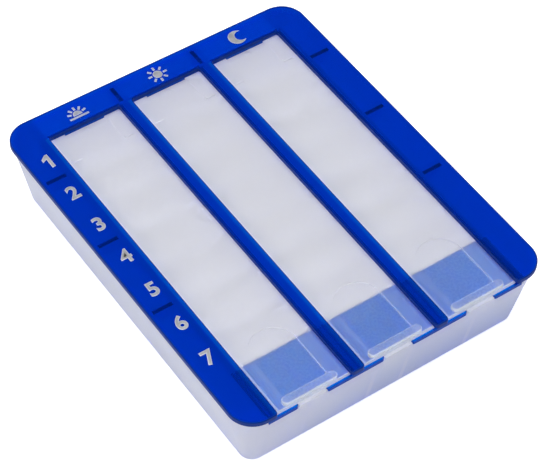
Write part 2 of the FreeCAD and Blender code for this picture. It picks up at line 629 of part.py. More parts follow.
# ---------------------------------------------------------------------------------------------
# Lids
# ---------------------------------------------------------------------------------------------
def make_lid(label, column):
    """One frosted sliding lid, modelled over the middle and placed over its own column."""
    body = new_body(label)
    body.setExpression("Placement.Base.x", cells(f"{FIRST_COLUMN} + {column} * column_spacing"))
    underside = f"({CHANNEL_FLOOR} + lid_lift)"
    top = f"({CHANNEL_FLOOR} + lid_lift + lid_thickness)"
    half = f"({CHANNEL_WIDTH} / 2 - lid_side_gap)"
    rear = f"({WINDOW_REAR} - lid_rear_gap)"
    front = f"({PLATE_FRONT} + lid_setback)"

    outline = rectangle(body, "lid_outline", "XY_Plane", underside, f"-{half}", half, front, rear)
    extrude(body, "Pad", "lid_plate", outline, "lid_thickness")
    corners = [(side * value(half), value(end)) for side in (-1, 1) for end in (front, rear)]
    round_edges(body, "lid_corners", "lid_corner", lambda edge: upright_at(edge, corners))

    relief = rectangle(body, "relief_outline", "XY_Plane", underside, "-relief_width / 2",
                       "relief_width / 2", f"{rear} - relief_depth", rear)
    extrude(body, "Pocket", "relief", relief, "lid_thickness", reverse=True)
    stop = rectangle(body, "stop_outline", "XY_Plane", underside, "-stop_width / 2", "stop_width / 2",
                     f"{rear} - relief_depth - stop_thickness", f"{rear} - relief_depth")
    extrude(body, "Pad", "stop", stop, "stop_depth", reverse=True)

    grip_middle = f"({front} + grip_setback + grip_width / 2)"
    bar = stadium(body, "grip_outline", top, "grip_length / 2", "grip_width / 2", grip_middle)
    extrude(body, "Pad", "grip", bar, "grip_height")
    crest = value(f"{top} + grip_height")
    round_edges(body, "grip_rounding", "grip_round", lambda edge: level_at(edge, crest))

    front_panel = arch(body, "front_panel_outline", top, f"{front} + grip_setback + grip_width",
                       CELLS_FRONT, "panel_width / 2")
    extrude(body, "Pocket", "front_panel", front_panel, "front_panel_depth")
    rear_panel = arch(body, "rear_panel_outline", top, f"{rear} - relief_depth",
                      f"{rear} - rear_panel_reach", "panel_width / 2")
    extrude(body, "Pocket", "rear_panel", rear_panel, "rear_panel_depth")

    for side, name in ((-1, "left"), (1, "right")):
        inner = f"{side} * (panel_width / 2 + ridge_gap)"
        outer = f"{side} * (panel_width / 2 + ridge_gap + ridge_length)"
        ends = (outer, inner) if side < 0 else (inner, outer)
        ridge = rectangle(body, f"ridge_{name}_outline", "XY_Plane", top, *ends,
                          f"{rear} - ridge_reach - ridge_width / 2",
                          f"{rear} - ridge_reach + ridge_width / 2")
        extrude(body, "Pad", f"ridge_{name}", ridge, "ridge_height")

    mark = new_sketch(body, "gate_mark_outline", "XY_Plane", f"{top} - rear_panel_depth")
    centre = Vector(0, value(f"{rear} - gate_mark_reach"), 0)
    mark.addGeometry(Part.Circle(centre, Vector(0, 0, 1), value("gate_mark")), False)
    pin(mark, "centre", 0, 3, "0", f"{rear} - gate_mark_reach")
    index = mark.addConstraint(Sketcher.Constraint("Radius", 0, value("gate_mark")))
    bind(mark, index, "mark_radius", "gate_mark")
    extrude(body, "Pocket", "gate_mark_hollow", mark, "gate_mark_depth")
    return body


def lid_labels():
    """A plain name for the lid of each column, from left to right."""
    count = int(value("column_count"))
    if count == len(COLUMN_NAMES):
        return [f"sliding_lid_{name}" for name in COLUMN_NAMES]
    return [f"sliding_lid_{k + 1}" for k in range(count)]


# ---------------------------------------------------------------------------------------------
# Build, test and write
# ---------------------------------------------------------------------------------------------
def check_document():
    """Stop if any object of the document is in error."""
    for item in document.Objects:
        faults = [state for state in item.State if state in ("Invalid", "Error")]
        if faults:
            raise ValueError(f"{item.Name} is {faults}")


def check_shape(body):
    """Stop unless the body is one valid solid."""
    shape = body.Shape
    if shape.isNull() or not shape.isValid():
        raise ValueError(f"{body.Label} has no valid shape")
    if len(shape.Solids) != 1:
        raise ValueError(f"{body.Label} has {len(shape.Solids)} solids")


sub_parts = [make_tray(), make_cover()]
sub_parts += [make_lid(label, column) for column, label in enumerate(lid_labels())]
document.recompute()
check_document()
for body in sub_parts:
    check_shape(body)

os.makedirs(OUTPUT_FOLDER, exist_ok=True)
for body in sub_parts:
    body.Shape.exportStep(os.path.join(OUTPUT_FOLDER, body.Label + ".step"))
    box = body.Shape.BoundBox
    print(f"{body.Label}: {body.Shape.Volume / 1000:.2f} cm3, X {box.XMin:.2f} to {box.XMax:.2f}, "
          f"Y {box.YMin:.2f} to {box.YMax:.2f}, Z {box.ZMin:.2f} to {box.ZMax:.2f}")
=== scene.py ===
# %% [markdown]
# # A weekly pill organizer, dressed for its portrait
#
# The object is five plastic mouldings: a milky tray with three columns of seven cells, a clear
# blue cover plate with one window over each column, and three milky lids that slide under the
# plate. Their shapes come ready-made from the construction model. This lesson gives them what a
# drawing can't: plastics that light passes through, silver foil print, a camera and a light tent.
# Everything is in metres, +X to the right, +Y to the rear and +Z up, and the origin is in the
# middle of the tray's underside.

import json
import math

import bpy
import numpy as np
from mathutils import Matrix, Vector

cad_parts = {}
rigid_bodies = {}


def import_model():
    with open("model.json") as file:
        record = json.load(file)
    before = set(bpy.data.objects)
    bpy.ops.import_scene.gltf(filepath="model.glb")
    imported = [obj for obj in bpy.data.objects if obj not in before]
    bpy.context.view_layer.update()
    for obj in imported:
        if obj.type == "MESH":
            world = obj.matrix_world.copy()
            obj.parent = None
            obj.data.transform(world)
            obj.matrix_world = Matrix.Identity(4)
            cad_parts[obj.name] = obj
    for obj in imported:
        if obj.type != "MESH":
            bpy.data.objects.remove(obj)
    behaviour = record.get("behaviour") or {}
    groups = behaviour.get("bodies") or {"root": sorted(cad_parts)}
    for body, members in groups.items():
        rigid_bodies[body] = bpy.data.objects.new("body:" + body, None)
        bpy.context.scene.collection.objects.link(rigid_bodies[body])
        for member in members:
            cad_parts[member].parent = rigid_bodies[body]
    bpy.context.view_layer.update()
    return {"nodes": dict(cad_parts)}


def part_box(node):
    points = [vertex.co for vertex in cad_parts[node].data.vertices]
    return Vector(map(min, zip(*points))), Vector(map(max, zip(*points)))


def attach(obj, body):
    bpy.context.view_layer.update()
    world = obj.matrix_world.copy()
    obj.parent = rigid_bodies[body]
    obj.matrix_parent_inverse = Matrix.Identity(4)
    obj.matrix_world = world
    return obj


MM = 0.001
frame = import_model()
PLATE_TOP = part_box("cover")[1].z
print("nodes:", sorted(frame["nodes"]))

# %% [markdown]
# ## The camera
#
# A long lens keeps the box's long sides nearly parallel, as in a product portrait. The camera
# stands to the front left and looks down by about half a right angle. It could be placed by hand,
# but three angles and a distance say it better: the turn about the vertical, the height angle,
# and a slight roll of the picture.

# %% Camera
LENS_PIXELS = 2134.2
PICTURE_WIDTH = 540
SENSOR_WIDTH = 36.0
CAMERA_TURN = math.radians(-36.19)
CAMERA_HEIGHT = math.radians(49.98)
CAMERA_ROLL = math.radians(2.07)
CAMERA_DISTANCE = 543.4 * MM
AIM = Vector((-6.38 * MM, -10.02 * MM, PLATE_TOP))


def look_from(turn, height, roll, distance, aim):
    """A place for a camera or lamp: its back axis is (sin turn cos height, -cos turn cos height,
    sin height), its right axis lies level, and right and up are then rolled about the back."""
    back = Vector((math.sin(turn) * math.cos(height), -math.cos(turn) * math.cos(height),
                   math.sin(height)))
    right = Vector((math.cos(turn), math.sin(turn), 0))
    up = back.cross(right)
    rolled_right = math.cos(roll) * right + math.sin(roll) * up
    rolled_up = math.cos(roll) * up - math.sin(roll) * right
    place = Matrix((rolled_right, rolled_up, back)).transposed().to_4x4()
    place.translation = aim + back * distance
    return place


camera_data = bpy.data.cameras.new("portrait_lens")
camera_data.sensor_width = SENSOR_WIDTH
camera_data.lens = LENS_PIXELS * SENSOR_WIDTH / PICTURE_WIDTH
camera_data.clip_start = 0.01
camera = bpy.data.objects.new("portrait_camera", camera_data)
camera.matrix_world = look_from(CAMERA_TURN, CAMERA_HEIGHT, CAMERA_ROLL, CAMERA_DISTANCE, AIM)
bpy.context.scene.collection.objects.link(camera)
bpy.context.scene.camera = camera
print("lens:", round(camera_data.lens, 1), "mm")


# %% [markdown]
# ## Small tools for node trees
#
# Every material and the world below is a tree of nodes. Wiring them one by one takes many lines,
# so a few helpers do it. The first ones open an empty tree, add a node and write sums as nodes.

# %% Node helpers
WHITE = (1.0, 1.0, 1.0, 1.0)


def new_tree(owner):
    """An empty node tree of a material or of the world."""
    owner.use_nodes = True
    owner.node_tree.nodes.clear()
    return owner.node_tree


def add_node(tree, kind, links=None, **numbers):
    """A node whose inputs are joined to other nodes' outputs, or set to plain numbers."""
    made = tree.nodes.new(kind)
    for name, source in (links or {}).items():
        tree.links.new(source, made.inputs[name])
    for name, number in numbers.items():
        made.inputs[name.replace("_", " ")].default_value = number
    return made


def calculate(tree, operation, *terms):
    """One Math node. A term is a number or another node's output."""
    made = tree.nodes.new("ShaderNodeMath")
    made.operation = operation
    for socket, term in zip(made.inputs, terms):
        if isinstance(term, (int, float)):
            socket.default_value = term
        else:
            tree.links.new(term, socket)
    return made.outputs[0]


def product(tree, *terms):
    """All terms multiplied."""
    result = terms[0]
    for term in terms[1:]:
        result = calculate(tree, "MULTIPLY", result, term)
    return result


def highest(tree, *terms):
    """The greatest of the terms, which joins masks."""
    result = terms[0]
    for term in terms[1:]:
        result = calculate(tree, "MAXIMUM", result, term)
    return result


# %% [markdown]
# ## Masks and mixes
#
# A mask is a number from 0 to 1 that says how much of an effect a spot gets. It is made from a
# distance by a soft step, because a hard one would show as a jagged line. Masks are joined,
# turned round and multiplied, and then mix two colours or two shaders.

# %% Masks and mixes
def fade(tree, source, start, end, low=0.0, high=1.0):
    """A soft step: low where the source is at start, high where it is at end."""
    made = tree.nodes.new("ShaderNodeMapRange")
    made.interpolation_type = "SMOOTHSTEP"
    tree.links.new(source, made.inputs["Value"])
    limits = {"From Min": start, "From Max": end, "To Min": low, "To Max": high}
    for name, number in limits.items():
        made.inputs[name].default_value = number
    return made.outputs["Result"]


def fade_out(tree, source, start, end):
    """A soft step down: 1 where the source is at start, 0 where it is at end."""
    return fade(tree, source, start, end, 1.0, 0.0)


def between(tree, source, rise, fall):
    """A mask that rises over the first pair of limits and falls over the second."""
    return product(tree, fade(tree, source, *rise), fade_out(tree, source, *fall))


def graded(tree, mask, low, high):
    """A number that goes from low to high as a mask goes from 0 to 1."""
    return fade(tree, mask, 0.0, 1.0, low, high)


def opposite(tree, mask):
    """1 less a mask."""
    return calculate(tree, "SUBTRACT", 1.0, mask)


def blend_colours(tree, share, first, second):
    """A mix of two colours, of which the second has that share."""
    made = tree.nodes.new("ShaderNodeMix")
    made.data_type = "RGBA"
    tree.links.new(share, made.inputs[0])
    for socket, colour in zip(made.inputs[6:8], (first, second)):
        if isinstance(colour, tuple):
            socket.default_value = colour
        else:
            tree.links.new(colour, socket)
    return made.outputs[2]


def blend_shaders(tree, share, first, second):
    """A mix of two shaders, of which the second has that share."""
    made = tree.nodes.new("ShaderNodeMixShader")
    tree.links.new(share, made.inputs[0])
    tree.links.new(first.outputs[0], made.inputs[1])
    tree.links.new(second.outputs[0], made.inputs[2])
    return made


# %% [markdown]
# ## The light tent
#
# Clear and shiny plastic shows its surroundings, so they matter more than the lamps. The tent is
# bright all round, and that is what the camera sees behind the box. Its ceiling is dark to rays
# from mirror reflections and dim to rays that come through clear plastic: a glossy level plate
# would otherwise mirror a white ceiling, and its blue would turn milky. In a studio, a black
# cloth above the table does the same. Matt surfaces are lit by an even, plain tent.

# %% Light tent
CEILING_START = 0.05
CEILING_FULL = 0.60
CEILING_MIRRORED = 0.012
CEILING_THROUGH = 0.25
TENT_LIGHT = 0.64
TENT_COLOUR = (0.97, 0.98, 1.0, 1.0)


def even_light(tree, strength, colour=WHITE):
    """A world light that is the same in all directions."""
    return add_node(tree, "ShaderNodeBackground", Color=colour, Strength=strength)


def light_under_ceiling(tree, height, at_ceiling):
    """White walls, and a ceiling that has only that share of their strength."""
    strength = fade(tree, height, CEILING_START, CEILING_FULL, 1.0, at_ceiling)
    return add_node(tree, "ShaderNodeBackground", {"Strength": strength}, Color=WHITE)


world = bpy.data.worlds.new("light_tent")
bpy.context.scene.world = world
tree = new_tree(world)
direction = add_node(tree, "ShaderNodeTexCoord").outputs["Generated"]
height = add_node(tree, "ShaderNodeSeparateXYZ", {"Vector": direction}).outputs["Z"]
mirrored = light_under_ceiling(tree, height, CEILING_MIRRORED)
through = light_under_ceiling(tree, height, CEILING_THROUGH)
path = add_node(tree, "ShaderNodeLightPath").outputs
tent = blend_shaders(tree, path["Is Glossy Ray"], even_light(tree, TENT_LIGHT, TENT_COLOUR),
                     mirrored)
tent = blend_shaders(tree, path["Is Transmission Ray"], tent, through)
tent = blend_shaders(tree, path["Is Camera Ray"], tent, even_light(tree, 1.0))
add_node(tree, "ShaderNodeOutputWorld", {"Surface": tent.outputs[0]})
print("world nodes:", len(tree.nodes))

# %% [markdown]
# ## Soft boxes
#
# Two square area lamps model the forms: a large one almost overhead, which fills the cells
# through their lids, and a weaker one on the left. Neither stands where the flat plate would
# mirror it into the camera.

# %% Soft boxes
def soft_box(name, turn, height, size, distance, power):
    """A square soft box of that size and power in metres and watts. It faces the object from a
    turn about the vertical and a height, both in degrees."""
    data = bpy.data.lights.new(name, "AREA")
    data.shape = "SQUARE"
    data.size = size
    data.energy = power
    lamp = bpy.data.objects.new(name, data)
    centre = Vector((0, 0, 0))
    lamp.matrix_world = look_from(math.radians(turn), math.radians(height), 0, distance, centre)
    bpy.context.scene.collection.objects.link(lamp)


soft_box("overhead_box", turn=-60, height=82, size=0.5, distance=0.8, power=2.7)
soft_box("left_box", turn=-100, height=40, size=0.5, distance=0.9, power=1.25)

# %% [markdown]
# ## The floor
#
# White paper under the object. It takes the object's soft shadow like any matt surface. A glow is
# added for rays from the camera, so that the paper looks as white as the tent around it. Mirror
# reflections and rays that come through clear plastic get only a faint one, because a strong one
# would wash out the blue and make a lid that is slid out vanish against the paper.

# %% Floor
FLOOR_HALF = 3.0
FLOOR_DROP = 0.05 * MM
PAPER_WHITE = (0.8, 0.8, 0.8, 1.0)
PAPER_GLOW = 0.6
PAPER_GLOW_MIRRORED = 0.15
PAPER_GLOW_THROUGH = 0.1

corners = np.array([[-1, -1, 0], [1, -1, 0], [1, 1, 0], [-1, 1, 0]]) * FLOOR_HALF
corners[:, 2] = -FLOOR_DROP
floor_mesh = bpy.data.meshes.new("floor")
floor_mesh.from_pydata(corners.tolist(), [], [(0, 1, 2, 3)])
floor = bpy.data.objects.new("floor", floor_mesh)
bpy.context.scene.collection.objects.link(floor)

paper = bpy.data.materials.new("white_paper")
tree = new_tree(paper)
path = add_node(tree, "ShaderNodeLightPath").outputs
strength = highest(tree, product(tree, path["Is Camera Ray"], PAPER_GLOW),
                   product(tree, path["Is Glossy Ray"], PAPER_GLOW_MIRRORED),
                   product(tree, path["Is Transmission Ray"], PAPER_GLOW_THROUGH))
glow = add_node(tree, "ShaderNodeEmission", {"Strength": strength})
matt = add_node(tree, "ShaderNodeBsdfDiffuse", Color=PAPER_WHITE)
both = tree.nodes.new("ShaderNodeAddShader")
tree.links.new(matt.outputs[0], both.inputs[0])
tree.links.new(glow.outputs[0], both.inputs[1])
add_node(tree, "ShaderNodeOutputMaterial", {"Surface": both.outputs[0]})
floor_mesh.materials.append(paper)
print("floor:", FLOOR_HALF * 2, "m square")

# %% [markdown]
# ## Plastic that lets light through
#
# All five mouldings are see-through to some degree. A ray tracer would treat them as solid
# blocks when it asks whether a lamp reaches a spot, so each material answers that one question
# with a plain tinted window. Patterns read the object's own coordinates in metres: the finest
# texture of a steel mould is a tenth of a millimetre, so its scale is some thousands. Noise keeps
# near its middle, so the steps that use it run over the middle of its span.

# %% Plastic helpers
NOISE_SPAN = (0.3, 0.7)
WIDE_NOISE_SPAN = (0.25, 0.75)


def place_on(tree):
    """The X, Y and Z of the spot on the object, in metres."""
    place = add_node(tree, "ShaderNodeTexCoord").outputs["Object"]
    return add_node(tree, "ShaderNodeSeparateXYZ", {"Vector": place}).outputs


def noise(tree, scale, detail, stretch=(1.0, 1.0, 1.0), turn=0.0):
    """Cloudy noise from 0 to 1 on the object, stretched and turned about the vertical."""
    place = add_node(tree, "ShaderNodeTexCoord").outputs["Object"]
    mapping = add_node(tree, "ShaderNodeMapping", {"Vector": place}, Scale=stretch,
                       Rotation=(0.0, 0.0, turn))
    made = add_node(tree, "ShaderNodeTexNoise", {"Vector": mapping.outputs[0]}, Scale=scale,
                    Detail=detail)
    return made.outputs[0]


def add_bumps(tree, plastic, layers):
    """Small reliefs on top of one another: each has its height pattern and depth in metres."""
    under = None
    for height, depth in layers:
        links = {"Height": height}
        if under:
            links["Normal"] = under.outputs[0]
        under = add_node(tree, "ShaderNodeBump", links, Distance=depth, Strength=1.0)
    tree.links.new(under.outputs[0], plastic.inputs["Normal"])


def finish_plastic(tree, plastic, window_tint):
    """Output of a plastic that is a plain tinted window to lamps."""
    window = add_node(tree, "ShaderNodeBsdfTransparent", Color=window_tint)
    path = add_node(tree, "ShaderNodeLightPath").outputs
    both = blend_shaders(tree, path["Is Shadow Ray"], plastic, window)
    return add_node(tree, "ShaderNodeOutputMaterial", {"Surface": both.outputs[0]})


# %% [markdown]
# ## Distances on a moulding
#
# A mark that follows a piece's form, such as a line round its rim, is a step in a distance. These
# helpers give the distances: beyond a reach on both sides, outside a form that ends round, and
# from the middle of the nearest column, which lets one pattern serve all three columns.

# %% Distances
COLUMN_SPACING = 25.7 * MM
ROW_SPACING = 12.7 * MM
SOFT_STEP = 0.3 * MM
SHARP_STEP = 0.05 * MM
LINE_FADE = (0.6, 1.4)
LEVEL_FADE = (0.1, 0.9)


def magnitude(tree, number):
    """A number without its sign."""
    return calculate(tree, "ABSOLUTE", number)


def size_beyond(tree, coordinate, reach):
    """How far a coordinate lies beyond a reach on either side of zero; negative within it."""
    return calculate(tree, "SUBTRACT", magnitude(tree, coordinate), reach)


def distance_outside(tree, across, along, half):
    """How far a spot lies outside a bar that ends round: the length of (across, the part of
    along beyond the round end's centre), less half the bar's width."""
    beyond = calculate(tree, "MAXIMUM", along, 0.0)
    squares = calculate(tree, "ADD", product(tree, across, across), product(tree, beyond, beyond))
    return calculate(tree, "SUBTRACT", calculate(tree, "SQRT", squares), half)


def across_column(tree, x):
    """The X coordinate counted from the middle of the nearest column: x less a whole number of
    spacings, which is -1, 0 or 1."""
    nearest = calculate(tree, "ROUND", calculate(tree, "DIVIDE", x, COLUMN_SPACING))
    nearest = calculate(tree, "MINIMUM", calculate(tree, "MAXIMUM", nearest, -1.0), 1.0)
    return calculate(tree, "SUBTRACT", x, product(tree, nearest, COLUMN_SPACING))


def line_at(tree, distance, half_width):
    """A soft line where a distance is zero. It fades out about its half width."""
    return fade_out(tree, magnitude(tree, distance), LINE_FADE[0] * half_width,
                    LINE_FADE[1] * half_width)


def level_share(tree):
    """1 on level faces, 0 on upright ones."""
    normal = add_node(tree, "ShaderNodeNewGeometry").outputs["True Normal"]
    height = add_node(tree, "ShaderNodeSeparateXYZ", {"Vector": normal}).outputs["Z"]
    return fade(tree, magnitude(tree, height), *LEVEL_FADE)


# %% [markdown]
# ## Blue plastic: the edges of the windows
#
# The cover is moulded in polystyrene with a strong blue dye. Light loses its red at once and its
# green soon, so a single wall is bright blue and two walls are navy. A clear plate also shows its
# cut edges: one side of a window gathers light and looks like a pale strip, and the others look
# like dark lines. Many bounces of light could find them, with much noise, so they are painted on
# the plate's top instead, as a highlight strip and shade lines.

# %% Edges of the windows
WINDOW_HALF = 10.85 * MM
WINDOW_REAR = 49.0 * MM
SIDE_FALL = (WINDOW_REAR - 0.4 * MM, WINDOW_REAR)
STRIP_RISE = (-WINDOW_HALF - 1.3 * MM, -WINDOW_HALF - 1.0 * MM)
STRIP_FALL = (-WINDOW_HALF - 0.35 * MM, -WINDOW_HALF - 0.15 * MM)
COLUMN_MIDDLE = (0.0, 0.1 * MM)
RIGHT_FALL = (WINDOW_HALF + 0.2 * MM, WINDOW_HALF + 1.2 * MM)
REAR_RISE = (WINDOW_REAR - 1.0 * MM, WINDOW_REAR - 0.8 * MM)
REAR_FALL = (WINDOW_REAR + 0.2 * MM, WINDOW_REAR + 0.8 * MM)
# how dark the painted shade lines round a window are
LEFT_DARKNESS = 0.5
RIGHT_DARKNESS = 0.7
REAR_DARKNESS = 0.7


def window_masks(tree, across, y):
    """Two masks: a painted highlight strip left of a window, and painted shade lines round it."""
    beside = fade_out(tree, y, *SIDE_FALL)
    strip = product(tree, beside, between(tree, across, STRIP_RISE, STRIP_FALL))
    left = product(tree, beside, between(tree, across, STRIP_FALL, COLUMN_MIDDLE), LEFT_DARKNESS)
    right = product(tree, beside, between(tree, across, COLUMN_MIDDLE, RIGHT_FALL), RIGHT_DARKNESS)
    in_width = fade_out(tree, size_beyond(tree, across, WINDOW_HALF), 0.0, SOFT_STEP)
    rear = product(tree, in_width, between(tree, y, REAR_RISE, REAR_FALL), REAR_DARKNESS)
    return strip, highest(tree, left, right, rear)


# %% [markdown]
# ## Blue plastic: what shows through the plate
#
# Under the plate's rims hang short braces, which locate the cover in the tray, and at the front
# lies the shelf that carries the lids. Through the plate the braces show as dark bars and the
# shelf as a deeper blue, both a little aside, because they lie deeper than the plate's top. Rays
# that are traced through the tinted plate would show them only faintly, so both are painted on
# the plate as painted shade.

# %% Braces and shelf under the plate
BLOCK_HALF = 38.9 * MM
BLOCK_REAR = 49.6 * MM
SHELF_REAR = -40.6 * MM
SEEN_ALONG = -0.95 * MM
SEEN_ACROSS = -0.5 * MM
SHELF_FALL = (SHELF_REAR + SEEN_ALONG - 0.2 * MM, SHELF_REAR + SEEN_ALONG + 0.2 * MM)
BLOCK_FALL = (0.1 * MM, 0.4 * MM)
BRACED_ROWS = (1, 3, 5)
BRACE_RISE = (0.0, SOFT_STEP)
BRACE_FALL = (5.8 * MM, 6.0 * MM)
BAR_HALF = 0.5 * MM
BRACE_SHADE_SHARE = 0.95
SHELF_SHADE_SHARE = 0.4


def masks_of_what_lies_under(tree, x, y):
    """Two masks of painted shade: bars over the braces, and the plate over the shelf."""
    seen = calculate(tree, "SUBTRACT", x, SEEN_ACROSS)
    beside_block = size_beyond(tree, seen, BLOCK_HALF)
    behind_block = calculate(tree, "SUBTRACT", y, BLOCK_REAR)
    places = [WINDOW_REAR - row * ROW_SPACING + SEEN_ALONG for row in BRACED_ROWS]
    rows = [line_at(tree, calculate(tree, "SUBTRACT", y, place), BAR_HALF) for place in places]
    side_bars = product(tree, highest(tree, *rows),
                        between(tree, beside_block, BRACE_RISE, BRACE_FALL))
    rear_bars = product(tree, line_at(tree, size_beyond(tree, seen, COLUMN_SPACING / 2), BAR_HALF),
                        between(tree, behind_block, BRACE_RISE, BRACE_FALL))
    bars = product(tree, highest(tree, side_bars, rear_bars), BRACE_SHADE_SHARE)
    over_shelf = product(tree, fade_out(tree, y, *SHELF_FALL),
                         fade_out(tree, beside_block, *BLOCK_FALL), SHELF_SHADE_SHARE)
    return bars, over_shelf


# %% [markdown]
# ## Blue plastic: the colour of the plate
#
# The masks are laid over one another, from the widest to the finest: plain blue, painted
# highlight strips, painted shade over the shelf, and then all painted shade lines at once. Upright
# faces are painted navy all over, a painted shade.

# %% Colour of the plate
PLATE_HALF_WIDTH = 46.5 * MM
PLATE_HALF_LENGTH = 57.5 * MM
PLATE_CORNER = 7.0 * MM
RIM_SHADE_LINE = (-0.55 * MM, -0.2 * MM)
PLATE_BLUE = (0.0, 0.064, 0.68, 1.0)
PAINTED_HIGHLIGHT_BLUE = (0.0, 0.14, 0.70, 1.0)
# painted shade: upright faces, dark lines and bars, and the plate over the shelf
PAINTED_SHADE_NAVY = (0.0, 0.025, 0.22, 1.0)


def rim_mask(tree, x, y):
    """Painted shade on the outline, from the distance outside a rectangle with round corners."""
    beside = calculate(tree, "MAXIMUM", size_beyond(tree, x, PLATE_HALF_WIDTH - PLATE_CORNER), 0.0)
    before = size_beyond(tree, y, PLATE_HALF_LENGTH - PLATE_CORNER)
    return fade(tree, distance_outside(tree, beside, before, PLATE_CORNER), *RIM_SHADE_LINE)


def plate_colour(tree, x, y, level, rim):
    """Plain blue, then painted highlight strips, painted shelf shade and dark shade lines."""
    strip, window_lines = window_masks(tree, across_column(tree, x), y)
    bars, over_shelf = masks_of_what_lies_under(tree, x, y)
    colour = blend_colours(tree, strip, PLATE_BLUE, PAINTED_HIGHLIGHT_BLUE)
    colour = blend_colours(tree, over_shelf, colour, PAINTED_SHADE_NAVY)
    colour = blend_colours(tree, highest(tree, window_lines, rim, bars), colour, PAINTED_SHADE_NAVY)
    return blend_colours(tree, level, PAINTED_SHADE_NAVY, colour)


# %% [markdown]
# ## Blue plastic: below the plate
#
# The shelf under the lids has painted light where a window lets the light in, painted shade
# under the plate and deeper painted shade under the rims. A rail closes its front, and its sides
# get painted shade. The braces are bright, so that they hardly show beside the bars that stand
# for them.

# %% Colour below the plate
SHELF_FRONT = -56.7 * MM
BEHIND_RAIL = (SHELF_FRONT + 0.2 * MM, SHELF_FRONT + 0.5 * MM)
UNDER_PLATE = (0.0, 0.4 * MM)
UNDER_RIM = (0.1 * MM, 0.4 * MM)
SHELF_LIT_BLUE = (0.0, 0.48, 0.95, 1.0)
SHELF_SHADED_BLUE = (0.0, 0.18, 0.56, 1.0)
SHELF_DEEP_SHADED_BLUE = (0.0, 0.04, 0.32, 1.0)
RAIL_TOP = (0.0, 0.20, 0.70, 1.0)
RAIL_SIDE_SHADED_BLUE = (0.0, 0.06, 0.42, 1.0)
BRACE_BLUE = (0.03, 0.35, 0.92, 1.0)


def colour_below(tree, x, y, level, in_rim):
    """Shelf and rail in painted light and shade on level faces; rail sides or braces upright."""
    across = across_column(tree, x)
    under_plate = fade(tree, size_beyond(tree, across, WINDOW_HALF), *UNDER_PLATE)
    under_rim = fade(tree, size_beyond(tree, x, COLUMN_SPACING + WINDOW_HALF), *UNDER_RIM)
    behind_rail = fade(tree, y, *BEHIND_RAIL)
    shelf = blend_colours(tree, under_plate, SHELF_LIT_BLUE, SHELF_SHADED_BLUE)
    shelf = blend_colours(tree, under_rim, shelf, SHELF_DEEP_SHADED_BLUE)
    shelf = blend_colours(tree, behind_rail, RAIL_TOP, shelf)
    sides = blend_colours(tree, in_rim, RAIL_SIDE_SHADED_BLUE, BRACE_BLUE)
    return blend_colours(tree, level, sides, shelf)


# %% [markdown]
# ## Blue plastic: clearness and finish
#
# The colour of the surface gives the tint of one wall, and absorption in the volume deepens it
# where the plastic is thick. Upright faces let little light through and are painted navy, a
# painted shade that makes the edges look dark.
# Polished tools leave the plastic glossy. Use leaves hair-fine scratches on it, and the flow of
# the melt a faint waviness. The mirror image of the tent takes on the blue, since a white one
# would grey the plate.

# %% Clear blue plastic
PLATE_UNDERSIDE = 21.2 * MM
IN_RIM = (0.2 * MM, 0.4 * MM)
MIRROR_BLUE = (0.15, 0.35, 1.0, 1.0)
CLEAR_BELOW = 0.88
CLEAR_IN_PLATE = 0.65
DULL_CLEARNESS = 0.3
DULL_ROUGHNESS = 0.5
GLOSSY = (0.05, 0.10)
HAIR_LEVEL = (0.62, 0.72)
HAIR_ROUGHNESS = 0.08
HAIR_DEPTH = 0.002 * MM
BLUE_WAVES = 0.05 * MM
LAMP_TINT_BLUE = (0.05, 0.3, 0.95, 1.0)
DEPTH_BLUE = (0.0, 0.55, 0.95, 1.0)
DEPTH_DENSITY = 500.0


def make_blue_plastic():
    material = bpy.data.materials.new("clear_blue_plastic")
    tree = new_tree(material)
    plastic = add_node(tree, "ShaderNodeBsdfPrincipled", IOR=1.5, Specular_IOR_Level=0.3,
                       Specular_Tint=MIRROR_BLUE)
    x, y, z = place_on(tree)
    level = level_share(tree)
    rim = rim_mask(tree, x, y)
    in_plate = fade(tree, z, PLATE_UNDERSIDE - SHARP_STEP, PLATE_UNDERSIDE + SHARP_STEP)
    in_rim = highest(tree, fade(tree, size_beyond(tree, x, BLOCK_HALF), *IN_RIM),
                     fade(tree, y, BLOCK_REAR + IN_RIM[0], BLOCK_REAR + IN_RIM[1]))
    colour = blend_colours(tree, in_plate, colour_below(tree, x, y, level, in_rim),
                           plate_colour(tree, x, y, level, rim))
    tree.links.new(colour, plastic.inputs["Base Color"])

    brace = product(tree, in_rim, opposite(tree, in_plate))
    dull = highest(tree, opposite(tree, highest(tree, level, brace)),
                   product(tree, rim, in_plate))
    clear = product(tree, graded(tree, in_plate, CLEAR_BELOW, CLEAR_IN_PLATE),
                    graded(tree, dull, 1.0, DULL_CLEARNESS))
    tree.links.new(clear, plastic.inputs["Transmission Weight"])

    hairs = noise(tree, scale=900.0, detail=2.0, stretch=(1.0, 14.0, 1.0), turn=0.5)
    scratches = fade(tree, hairs, *HAIR_LEVEL)
    cloud = noise(tree, scale=60.0, detail=2.0)
    rough = calculate(tree, "ADD", fade(tree, cloud, *NOISE_SPAN, *GLOSSY),
                      product(tree, scratches, HAIR_ROUGHNESS))
    rough = highest(tree, rough, product(tree, dull, DULL_ROUGHNESS))
    tree.links.new(rough, plastic.inputs["Roughness"])
    add_bumps(tree, plastic, [(cloud, BLUE_WAVES), (scratches, HAIR_DEPTH)])
    output = finish_plastic(tree, plastic, LAMP_TINT_BLUE)
    depth = add_node(tree, "ShaderNodeVolumeAbsorption", Color=DEPTH_BLUE, Density=DEPTH_DENSITY)
    tree.links.new(depth.outputs[0], output.inputs["Volume"])
    return material


blue_plastic = make_blue_plastic()
print("blue plastic nodes:", len(blue_plastic.node_tree.nodes))
